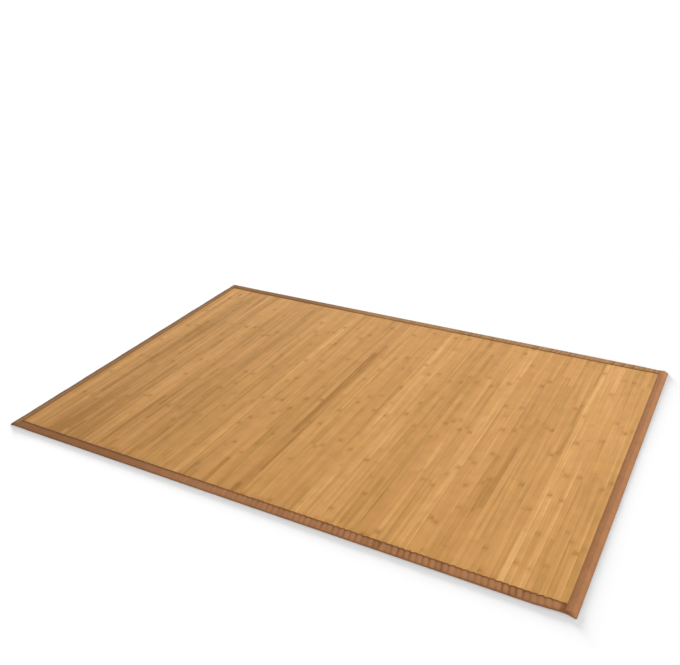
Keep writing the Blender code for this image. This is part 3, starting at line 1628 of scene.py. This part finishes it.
        # Painted shade in the hollows between the bulges.
        crease = np.clip(1.0 - self.crease_fall * self.swell(run, out), 0.0, 1.0)
        crease *= self.on_top(up) * self.grown(run, self.crease_shades)
        crease *= self.own(run + 0.5 * self.rug.pitch, Series.CREASE, self.creases)
        # Painted shade and dirt along the stitches.
        hem = self.near_hem(spots) * self.own(run, Series.HEM, self.hems) * self.hem_shade_and_dirt
        worn = self.left_darkening * soft_ramp(run, *self.darker_x)
        return np.clip(np.maximum(low, crease) + hem + worn, 0.0, 1.0)


@dataclass
class ShortBinding(Binding):
    """Tape over the last slat, with an empty fold that droops to the floor.

    Attributes:
        corner_rounds: Radius of the outer corner at the front and at the back.
        shades_and_dirt: Dirt and painted shade along the stitches and on the flat stretch, and painted
            shade on the slope.
        foot: The full and the greatest height of the painted shade at the fold's foot, and its depth.
        slope_reach: How far over the slat the slope's painted shade ends.
        slope_heights: Heights on the section where it is full, and where it ends.
        highlight_spread: Where the painted highlight is full and where it ends, past the last slat.
        shoulder: Where the droop starts, past the last slat.
        droop: Points on it, inwards from the outer fold and up from the floor.
        brow: Its upper end, inwards from the outer fold and down from the top.
        edge_lines: Distances of the flat stretch's first lines from the shoulder.
        hem_lines: Distances of its last lines from the inner edge.
        tip_lines: Distances of the closest cross lines from the tape's ends.
        step_lines: The first, the end and the step of the next ones.
        middle_lines: How many there are from the tape's middle to those.
        full_length: How far from the inner edge the tape keeps its full length.
        lifted: How high over a layer it steps up in full, and over the cloth not at all.
        fold_margin: How far from the outer fold it stops stepping up.
        ajar: How far the closed ends stand open.
        slack_reach: Where the empty stretch is quite slack, past the last slat.
        overhang: How far the tips stand out past the long bindings.
        tip_reach: How far short of the inner edge the outer fold ends.
        tip_run: The stretch of the tape over which it is drawn in.
        corner_depth: How far inwards the round corners reach.
        closing: Length over which the ends close down to the floor.
        sewn_margin: Distance of the row's ends from the long bindings' outer folds.
        end_hem: Distance of the stitches across an end from the tip.
        end_stitches: How many they are.
        end: The tips' distance from the rug's middle.
        wave: Height of the empty stretch's slow waves.
        finer_wave: Height of its quick waves.
        flat_wave: Height of the waves over the slat.
        sway: How far the slow waves move the empty stretch outwards.
        wave_lengths: The longest slow wave and the longest quick one.
    """

    corner_rounds: Point = (0.003, 0.010)
    shades_and_dirt: Triple = (0.15, 0.10, 0.05)
    foot: Triple = (0.0008, 0.0026, 0.006)
    slope_reach: float = 0.007
    slope_heights: Point = (0.0024, 0.0010)
    highlight_spread: Point = (0.003, -0.001)
    shoulder: float = 0.0014
    droop: tuple[Point, ...] = ((0.0045, 0.0029), (0.0070, 0.0038), (0.0095, 0.0048))
    brow: Point = (0.0115, 0.0004)
    edge_lines: Point = (0.0012, 0.0035)
    hem_lines: tuple[float, ...] = (0.011, 0.007, 0.0045, 0.003, 0.0014)
    low_lines: tuple[float, ...] = (0.0, 0.009, 0.018)
    tip_lines: tuple[float, ...] = (0.0, 0.0005, 0.0011, 0.0018, 0.0026, 0.0036, 0.0048, 0.0064, 0.0085)
    step_lines: Triple = (0.012, 0.060, 0.004)
    middle_lines: int = 60
    full_length: float = 0.004
    lifted: Point = (0.0006, 0.0002)
    fold_margin: float = 0.002
    ajar: float = 0.0001
    slack_reach: float = 0.006
    overhang: float = 0.001
    tip_reach: float = 0.0052
    tip_run: float = 0.014
    corner_depth: float = 0.012
    closing: float = 0.0040
    sewn_margin: float = 0.006
    end_hem: float = 0.0065
    end_stitches: int = 5
    wave: float = 0.00035
    finer_wave: float = 0.00015
    flat_wave: float = 0.00010
    sway: float = 0.0004
    wave_lengths: Point = (0.16, 0.05)
    end: float = field(init=False)

    def __post_init__(self) -> None:
        """Takes the edge's places from the rug."""
        self.outer, self.inner = self.rug.short_outer, self.rug.short_inner
        self.end = self.rug.long_outer + self.overhang
        self.sewn = 2.0 * (self.rug.long_outer - self.sewn_margin)

    def slope(self) -> list[Point]:
        """The section's points on the droop.

        Returns:
            The points, from the outer fold to the shoulder.
        """
        off, down = self.brow
        points = [(self.outer - in_by, up) for in_by, up in self.droop]
        return [*points, (self.outer - off, self.rug.fold_height - down)]

    def flat(self) -> list[Point]:
        """The section's points over the slat.

        Returns:
            The points, from the shoulder to the inner edge.
        """
        edge, top = self.rug.panel_x + self.shoulder, self.rug.fold_height
        near_edge = [edge - off for off in self.edge_lines]
        near_hem = [self.inner + off for off in self.hem_lines]
        return [*((out, top) for out in near_edge + near_hem), (self.inner, top - self.turn_down)]

    def section(self) -> list[Point]:
        """Lower flap, thin outer fold, sloping empty stretch and flat upper flap.

        Returns:
            The points, from lower hem to upper hem.
        """
        bend = self.rug.cloth + self.rug.gap / 2.0
        tip = arc((self.outer - bend, bend), bend, -90.0, 90.0, 6)
        return [*self.lower_flap(), *tip, *self.slope(), *self.flat()]

    def along(self) -> np.ndarray:
        """Cross lines, close together where the tape steps over a long binding.

        Returns:
            Their places along Y.
        """
        near, step = np.array(self.tip_lines), np.arange(*self.step_lines)
        last = self.end - sum(self.step_lines[1:])
        mid = np.linspace(0.0, last, self.middle_lines)
        distances = np.unique(np.round(np.concatenate([self.end - near, self.end - step, mid]), 6))
        return np.concatenate([-distances[:0:-1], distances])

    def slack(self, out: np.ndarray) -> np.ndarray:
        """1 on the empty stretch past the last slat, 0 over the slat."""
        return soft_ramp(out, self.rug.panel_x + self.slack_reach, self.rug.panel_x)

    def fold(self, spots: Spots) -> np.ndarray:
        """Places the cloth, stepping up over the long tapes and closing at its ends.

        Args:
            spots: Places on the plain section.

        Returns:
            Rows (x, y, z).
        """
        rug, (run, out, up) = self.rug, spots
        over_slat = soft_ramp(out, rug.panel_x + self.shoulder, self.outer - self.fold_margin)
        above = ramp(up, rug.layer + self.lifted[0], rug.cloth + self.lifted[1])
        wave = ripple(run, self.seed, self.wave_lengths[0])
        finer = ripple(run + 2.0 * out, self.seed + 1, self.wave_lengths[1])
        slack = self.slack(out)
        height = up + above * over_slat * (rug.lift_y(run) + rug.step_y(run))
        height += above * slack * (self.wave * wave + self.finer_wave * finer)
        height += above * (1.0 - slack) * self.flat_wave * finer
        closing = soft_ramp(np.abs(run), self.end, self.end - self.closing)
        closed = 2.0 * rug.cloth + rug.gap + self.ajar
        height = np.where(height > closed, height + closing * (closed - height), height)

        inward = soft_ramp(out, self.inner + self.full_length, self.outer)
        short_by = self.tip_reach * inward * ramp(np.abs(run), self.end, self.end - self.tip_run)
        radius = np.where(run < 0.0, *self.corner_rounds)
        turn = ramp(np.abs(run), self.end, self.end - radius)
        inset = radius * (1.0 - np.sqrt(1.0 - turn**2))
        inset *= ramp(out, self.outer, self.outer - self.corner_depth)
        out = out + slack * above * self.sway * wave - inset
        return np.stack([self.side.value * out, run - np.sign(run) * short_by, height], axis=1)

    def painted_highlight(self, spots: Spots) -> np.ndarray:
        """Painted highlight, full on the sloping stretch past the last slat."""
        full, none = (self.rug.panel_x + off for off in self.highlight_spread)
        return soft_ramp(spots.out, full, none)

    def shade_and_dirt(self, spots: Spots) -> np.ndarray:
        """Painted shade at the foot of the fold and on the slope, and dirt and painted shade along the
        stitches and on the flat stretch.

        Args:
            spots: Places on the plain section.

        Returns:
            Values from 0 to 1.
        """
        out, up = spots.out, spots.up
        full, none, depth = self.foot
        # Painted shade at the foot of the fold, where it meets the floor.
        low = soft_ramp(up, full, none) * ramp(out, self.outer, self.outer - depth)
        along_hem, flat, slope = self.shades_and_dirt
        # Painted shade on the slope; dirt and painted shade on the flat stretch.
        outer = soft_ramp(out, self.rug.panel_x, self.rug.panel_x - self.slope_reach)
        outer *= ramp(up, *self.slope_heights)
        top = flat * (1.0 - outer) * self.on_top(up) + slope * outer
        return np.clip(low + along_hem * self.near_hem(spots) + top, 0.0, 1.0)

    def across_end(self, end: int, run: np.ndarray, off: np.ndarray) -> np.ndarray:
        """The cloth's surface along the stitches across one end.

        Args:
            end: -1 for the front end, 1 for the back one.
            run: Distances along the stitches, outwards from the tape's middle line.
            off: Distances across them.

        Returns:
            Rows (x, y, z).
        """
        out = 0.5 * (self.inner + self.outer) + run
        points = np.array(self.slope() + self.flat())
        up = np.interp(-out, -points[:, 0], points[:, 1])
        return self.fold(Spots(end * (self.end - self.end_hem) + off, out, up))

    def sew(self) -> Piece:
        """Sews the row along the inner edge, and one across each end.

        Returns:
            The stitches, not yet riding on the rug.
        """
        stitches = super().sew()
        pitch = self.rug.pitch / self.stitches_per_slat
        ends = [
            Stitches().row(stitches.name + "_end", self.end_stitches, pitch, partial(self.across_end, end))
            for end in (-1, 1)
        ]
        make_active(stitches)
        for row in ends:
            row.select_set(True)
        bpy.ops.object.join()
        return stitches


# ----- Floor, light and camera -----


@dataclass(frozen=True)
class Studio:
    """A pale floor, soft light and the camera. Angles are in degrees."""

    camera_place: Triple = (1.138, -1.975, 1.407)
    camera_target: Triple = (-0.199, 0.436, 0.0)
    camera_roll: float = -2.04
    lens: float = 42.48
    sensor: float = 36.0
    shift_x: float = -0.0265
    floor_size: float = 60.0
    floor_colour: Colour = (0.96, 0.96, 0.96)
    sky_low: float = 1.48
    sky_high: float = 0.70
    sky_full: float = 0.55
    soft_box_power: float = 285.0
    soft_box_size: float = 3.0
    soft_box_place: Triple = (4.3, 3.7, 3.7)
    low_sun_strength: float = 6.2
    low_sun_angle: float = 12.0
    low_sun_from: Triple = (-0.70, 0.70, 0.14)

    def build(self) -> None:
        """Makes everything that isn't part of the rug."""
        self.world()
        self.lights(self.floor())
        self.camera()

    def floor(self) -> Piece:
        """Makes the floor, as stage.

        Returns:
            The floor.
        """
        deselect_all()
        bpy.ops.mesh.primitive_plane_add(size=self.floor_size, location=(0.0, 0.0, 0.0))
        floor = bpy.context.object
        floor.name = "floor"
        material, graph = new_material("floor")
        graph.dress({"Base Color": rgba(self.floor_colour), "Roughness": 0.9, "Specular IOR Level": 0.1})
        floor.data.materials.append(material)
        return floor

    def world(self) -> None:
        """Sets a white surround, brightest near the horizon."""
        world = bpy.data.worlds.new("studio")
        world.use_nodes = True
        graph = Graph(world.node_tree)
        way = graph.add("TexCoord", None, "Generated")
        up = graph.math("ABSOLUTE", graph.add("SeparateXYZ", {0: way}, "Z"))
        share = up.stretch(0.0, self.sky_full)
        ends = {"Value": share, "To Min": self.sky_low, "To Max": self.sky_high}
        background = world.node_tree.nodes["Background"].inputs
        background["Color"].default_value = (1.0, 1.0, 1.0, 1.0)
        graph.feed(background["Strength"], graph.add("MapRange", ends))
        bpy.context.scene.world = world
        bpy.context.scene.view_settings.view_transform = "Standard"

    def lights(self, floor: Piece) -> None:
        """Adds a soft box for the rug and a low sun that draws its shadow.

        Args:
            floor: The floor, which the soft box leaves out and the low sun lights.
        """
        box = bpy.data.lights.new("soft_box", "AREA")
        box.energy, box.size = self.soft_box_power, self.soft_box_size
        self.hang(box, self.soft_box_place, floor, "EXCLUDE")
        sun = bpy.data.lights.new("low_sun", "SUN")
        sun.energy, sun.angle = self.low_sun_strength, math.radians(self.low_sun_angle)
        self.hang(sun, self.low_sun_from, floor, "INCLUDE")

    def hang(self, light: bpy.types.Light, spot: Triple, floor: Piece, state: str) -> None:
        """Hangs a lamp at a spot and points it at the rug's middle.

        Args:
            light: The lamp's light.
            spot: Where it hangs.
            floor: The floor.
            state: "INCLUDE" to light the floor alone, "EXCLUDE" for all but the floor.
        """
        lamp = bpy.data.objects.new(light.name, light)
        lamp.location = spot
        lamp.rotation_euler = (-Vector(spot)).to_track_quat("-Z", "Y").to_euler()
        bpy.context.collection.objects.link(lamp)
        lit = bpy.data.collections.new(lamp.name + "_receivers")
        lit.objects.link(floor)
        lit.collection_objects[0].light_linking.link_state = state
        lamp.light_linking.receiver_collection = lit

    def camera(self) -> None:
        """Places the camera and makes it the scene's."""
        data = bpy.data.cameras.new("camera")
        data.lens, data.sensor_width, data.shift_x = self.lens, self.sensor, self.shift_x
        eye = bpy.data.objects.new("camera", data)
        eye.location = self.camera_place
        way = Vector(self.camera_target) - Vector(self.camera_place)
        roll = Quaternion((0.0, 0.0, 1.0), math.radians(self.camera_roll))
        eye.rotation_mode = "QUATERNION"
        eye.rotation_quaternion = way.to_track_quat("-Z", "Y") @ roll
        bpy.context.collection.objects.link(eye)
        bpy.context.scene.camera = eye


def main() -> None:
    """Builds the rug and its studio, and reports each piece."""
    logging.basicConfig(level=logging.INFO, format="%(message)s")
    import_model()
    rug = RugFrame.from_nodes()
    Studio().build()

    effects = Effects()
    bamboo = BambooFinish().build(effects)
    cloth = ClothFinish().build(effects)
    # A copy of the cloth with a painted sheen, greyer and lighter, for the back and left tapes.
    painted_light = ClothFinish(
        "sheen_tinted_tape_cloth", colour=(0.262, 0.134, 0.051), light=(0.400, 0.218, 0.092)
    ).build(effects)
    thread = ThreadFinish().build(effects)

    slats = SlatField(rug).build(bamboo)
    LOG.info("slats: %d pieces", len(slats))
    front = LongBinding("binding_long_front", Side.LOW, rug, seed=3)
    back = LongBinding(
        "binding_long_back", Side.HIGH, rug, seed=5, puckers=(0.0002, 0.0005), hem_shade_and_dirt=0.45
    )
    left = ShortBinding(
        "binding_short_left",
        Side.LOW,
        rug,
        seed=21,
        corner_rounds=(0.005, 0.005),
        # Strong painted shade on the slope of this tape.
        shades_and_dirt=(0.45, 0.08, 0.75),
    )
    right = ShortBinding("binding_short_right", Side.HIGH, rug, seed=27)
    for binding, tape_cloth in ((front, cloth), (back, painted_light), (left, painted_light), (right, cloth)):
        for piece in binding.build(tape_cloth, thread):
            LOG.info("%s: %d faces", piece.name, len(piece.data.polygons))


if __name__ == "__main__":
    main()
